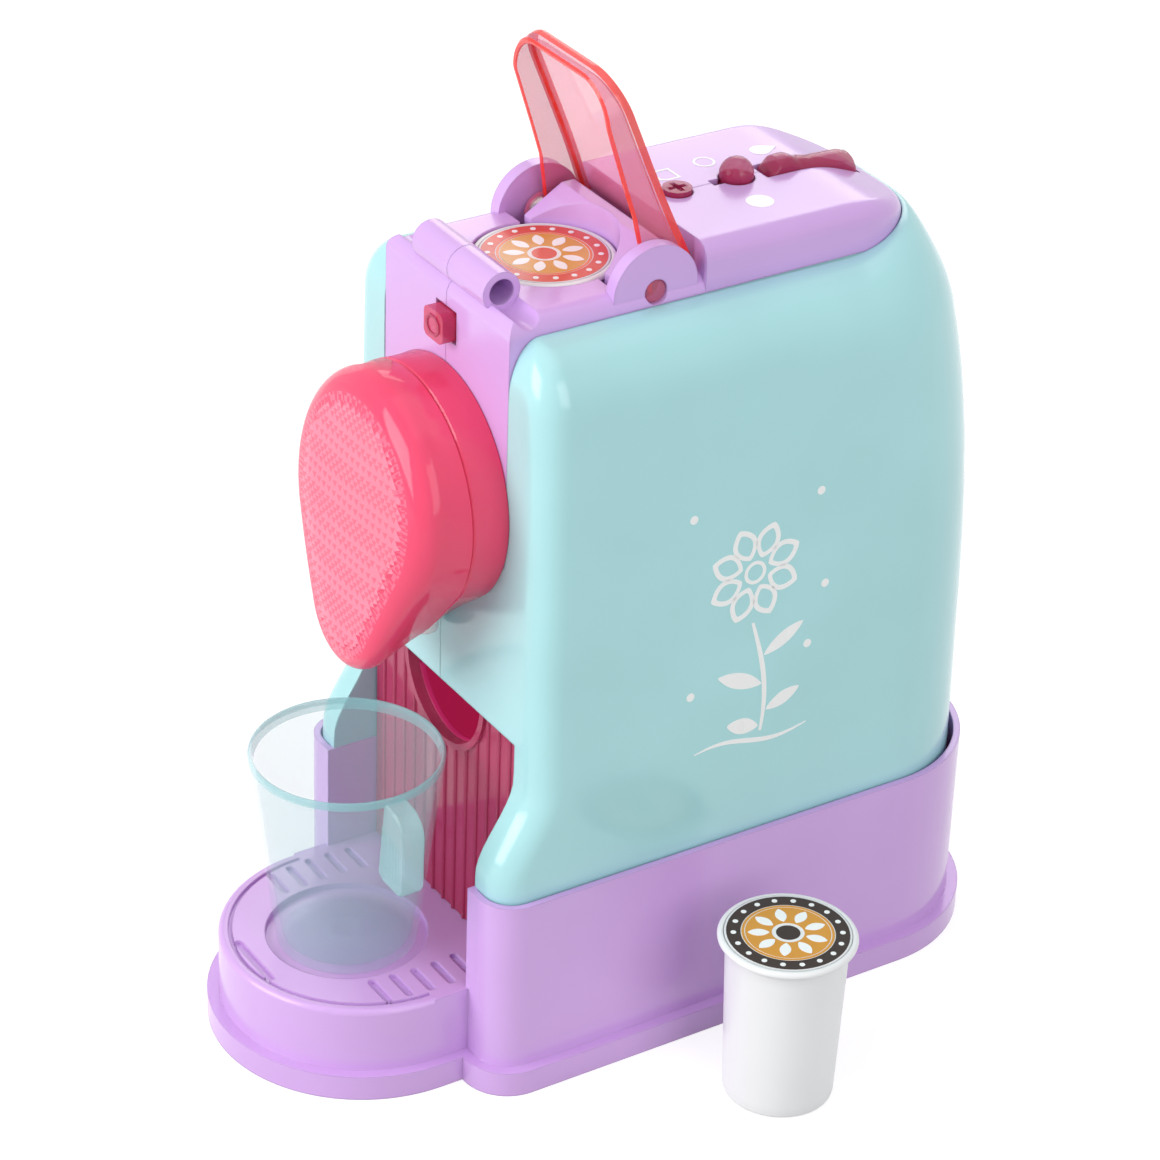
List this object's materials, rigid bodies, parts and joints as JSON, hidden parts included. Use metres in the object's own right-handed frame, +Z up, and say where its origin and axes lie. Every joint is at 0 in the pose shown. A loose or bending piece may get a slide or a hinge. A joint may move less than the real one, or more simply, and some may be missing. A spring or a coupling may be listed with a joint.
{
  "type": "toy coffee maker",
  "caption": "Children's pretend capsule coffee maker with a hinged clear lid, press controls, a cup on a tray and a loose capsule.",
  "frame": {"origin": "on the surface that it stands on, below the middle of the body", "axes": "+Z up, the front with cup and brew head faces -Y, +X to the right seen from the front"},
  "size_m": [0.1714, 0.2367, 0.2877],
  "materials": {
    "lilac": "gloss",
    "mint": "gloss",
    "magenta": "matt",
    "clear_red": "clear gloss",
    "white": "matt",
    "printed_seal": "printed film",
    "steel": "plain",
    "lamp": "clear",
    "clear_teal": "clear gloss",
    "board": "matt",
    "black": "matt",
    "cell": "gloss"
  },
  "bodies": {
    "housing": {"base_housing": "lilac", "side_cover_left": "mint", "side_cover_right": "mint", "centre_shell_left": "lilac", "centre_shell_right": "lilac", "capsule_holder": "lilac", "capsule_chute": "magenta", "brew_head_ring": "clear_red", "head_screws": "steel", "brew_head_cover": "clear_red", "nozzle": "white", "lamp": "lamp", "ribbed_panel": "clear_red", "capsule_bin": "magenta", "rocker_pin": "steel", "control_bracket": "white", "bracket_screws": "steel", "control_board": "board", "key_switches": "black", "front_board": "board", "front_switch": "black", "base_plate": "white", "base_screws": "steel", "battery_door": "white", "battery_tray": "white", "battery_cells": "cell", "battery_contacts": "steel", "main_board": "board", "loudspeaker": "black", "cover_screws": "steel"},
    "lid": {"lid": "clear_red"},
    "cup": {"cup": "clear_teal"},
    "seated_capsule": {"seated_capsule_cup": "white", "seated_capsule_seal": "printed_seal"},
    "loose_capsule": {"loose_capsule_cup": "white", "loose_capsule_seal": "printed_seal"},
    "cross_button": {"cross_button": "clear_red"},
    "ball_button": {"ball_button": "clear_red"},
    "rocker": {"rocker": "clear_red"},
    "front_button": {"front_button": "clear_red"}
  },
  "joints": [
    {"name": "lid_hinge", "type": "hinge", "parent": "housing", "child": "lid", "pos_m": [0, -0.0113, 0.2284], "axis": [1, 0, 0], "range_deg": [0, 67.1]},
    {"name": "cup_lift", "type": "slide", "parent": "housing", "child": "cup", "axis": [0, 0, 1], "range_m": [0, 0.025]},
    {"name": "seated_capsule_lift", "type": "slide", "parent": "housing", "child": "seated_capsule", "axis": [0, 0, 1], "range_m": [0, 0.01]},
    {"name": "loose_capsule_lift", "type": "slide", "parent": "housing", "child": "loose_capsule", "axis": [0, 0, 1], "range_m": [0, 0.03]},
    {"name": "cross_press", "type": "slide", "parent": "housing", "child": "cross_button", "axis": [0, 0, -1], "range_m": [0, 0.0015], "stiffness_N_per_m": 300},
    {"name": "ball_press", "type": "slide", "parent": "housing", "child": "ball_button", "axis": [0, 0, -1], "range_m": [0, 0.0015], "stiffness_N_per_m": 300},
    {"name": "front_press", "type": "slide", "parent": "housing", "child": "front_button", "axis": [0, 1, 0], "range_m": [0, 0.002], "stiffness_N_per_m": 300},
    {"name": "rocker_tilt", "type": "hinge", "parent": "housing", "child": "rocker", "pos_m": [0, 0.0585, 0.231], "axis": [1, 0, 0], "range_deg": [-5, 5], "stiffness_Nm_per_rad": 0.06}
  ]
}
